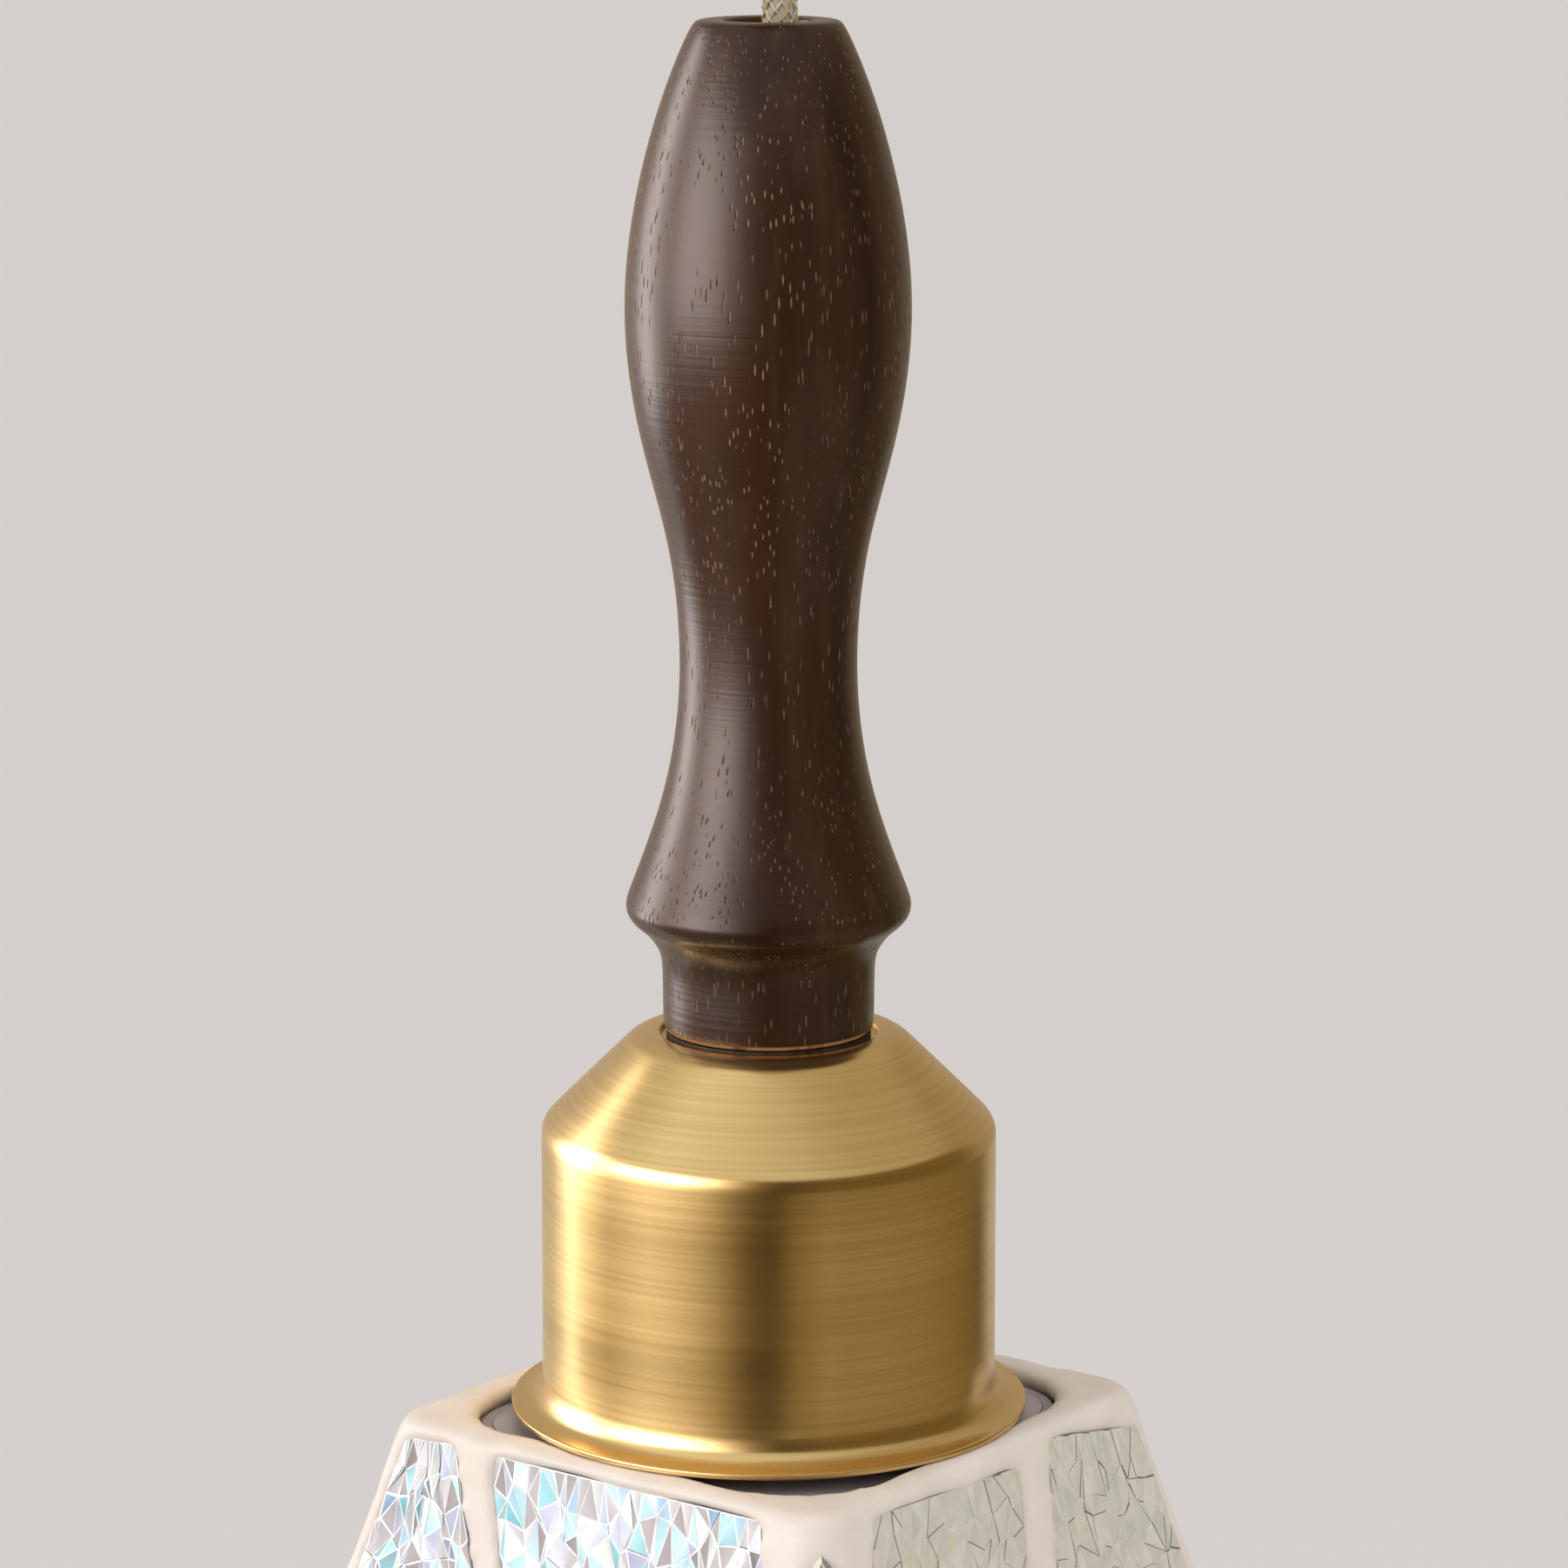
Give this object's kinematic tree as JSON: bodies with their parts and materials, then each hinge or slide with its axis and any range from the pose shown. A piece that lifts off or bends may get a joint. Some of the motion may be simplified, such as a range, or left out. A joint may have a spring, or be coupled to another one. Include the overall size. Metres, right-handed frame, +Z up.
{
  "type": "pendant lamp",
  "caption": "Pendant lamp: walnut handle and spun brass cap over a four-sided mosaic glass shade, hung on a braided cord from a brass canopy.",
  "frame": {"origin": "centre of the ceiling plate's top face, which lies against the ceiling", "axes": "+Z up into the ceiling; -Y is the side of the shade whose wide grout corner is on its right; the lamp hangs along -Z"},
  "size_m": [0.1272, 0.1272, 0.417],
  "materials": {
    "mosaic_glass": "crackled iridescent, handmade",
    "satin_brass": "spun, satin brushed",
    "turned_brass": "turned, satin",
    "walnut": "turned, satin oil",
    "braided_cord": "braided textile, cream and gold",
    "zinc_steel": "zinc plated",
    "grey_enamel": "mauve grey enamel",
    "dark_washer": "dark bronze",
    "grey_felt": "pressed felt, mauve grey",
    "grout": "smooth sponged grout",
    "clear_glass": "clear, pressed",
    "holder_resin": "moulded",
    "white_ceramic": "glazed",
    "contact_brass": "stamped",
    "white_nylon": "moulded",
    "wire_insulation": "extruded",
    "bulb_envelope": "clear, blown",
    "nickel": "nickel plated",
    "black_glass": "black vitrite",
    "solder": "tinned",
    "led_filament": "phosphor coated"
  },
  "bodies": {
    "ceiling": {"ceiling_plate": "zinc_steel", "canopy": "satin_brass", "canopy_screws": "turned_brass", "cord_grip": "turned_brass", "cord_grip_nut": "turned_brass", "cord_grip_screw": "zinc_steel", "terminal_block": "white_nylon", "terminal_screws": "zinc_steel", "cord_in_canopy": "braided_cord"},
    "cord_top": {"cord_upper": "braided_cord"},
    "cord_end": {"cord_lower": "braided_cord"},
    "lamp": {"brass_cap": "satin_brass", "centre_contact": "contact_brass", "cord_clamp": "white_nylon", "cord_in_handle": "braided_cord", "corner_gems": "mosaic_glass", "lampholder_cap": "holder_resin", "lampholder_core": "white_ceramic", "lampholder_shell": "contact_brass", "lampholder_skirt": "holder_resin", "lampholder_wires": "wire_insulation", "nipple_nuts": "turned_brass", "seat_ring": "dark_washer", "shade_carrier": "grey_enamel", "shade_gasket": "grey_felt", "shade_glass": "clear_glass", "shade_grout": "grout", "shade_ring": "holder_resin", "threaded_nipple": "turned_brass", "tile_back_lower_left": "mosaic_glass", "tile_back_lower_right": "mosaic_glass", "tile_back_middle_left": "mosaic_glass", "tile_back_middle_right": "mosaic_glass", "tile_back_upper_left": "mosaic_glass", "tile_back_upper_right": "mosaic_glass", "tile_front_lower_left": "mosaic_glass", "tile_front_lower_right": "mosaic_glass", "tile_front_middle_left": "mosaic_glass", "tile_front_middle_right": "mosaic_glass", "tile_front_upper_left": "mosaic_glass", "tile_front_upper_right": "mosaic_glass", "tile_left_lower_left": "mosaic_glass", "tile_left_lower_right": "mosaic_glass", "tile_left_middle_left": "mosaic_glass", "tile_left_middle_right": "mosaic_glass", "tile_left_upper_left": "mosaic_glass", "tile_left_upper_right": "mosaic_glass", "tile_right_lower_left": "mosaic_glass", "tile_right_lower_right": "mosaic_glass", "tile_right_middle_left": "mosaic_glass", "tile_right_middle_right": "mosaic_glass", "tile_right_upper_left": "mosaic_glass", "tile_right_upper_right": "mosaic_glass", "walnut_handle": "walnut"},
    "bulb_tip": {"bulb_centre_contact": "solder"},
    "bulb": {"bulb_insulator": "black_glass", "bulb_screw_cap": "nickel", "bulb_glass": "bulb_envelope", "bulb_stem": "bulb_envelope", "bulb_filaments": "led_filament"}
  },
  "joints": [
    {"name": "cord_swing", "type": "hinge", "parent": "ceiling", "child": "cord_top", "pos_m": [0, 0, -0.037], "axis": [0, 1, 0], "range_deg": [-30, 30]},
    {"name": "cord_twist", "type": "hinge", "parent": "cord_top", "child": "cord_end", "pos_m": [0.0006, 0.00045, -0.084], "axis": [0, 0, 1], "range_deg": [-180, 180]},
    {"name": "lamp_tilt", "type": "hinge", "parent": "cord_end", "child": "lamp", "pos_m": [0.0012, 0.0009, -0.131], "axis": [1, 0, 0], "range_deg": [-25, 25]},
    {"name": "bulb_travel", "type": "slide", "parent": "lamp", "child": "bulb_tip", "axis": [0, 0, 1], "range_m": [-0.0236, 0]},
    {"name": "bulb_turn", "type": "hinge", "parent": "bulb_tip", "child": "bulb", "pos_m": [0, 0, -0.36], "axis": [0, 0, 1], "range_deg": [-2340, 0]}
  ],
  "couplings": [
    {"joint": "bulb_travel", "follows": "bulb_turn", "m_per_rad": 0.00057757}
  ]
}
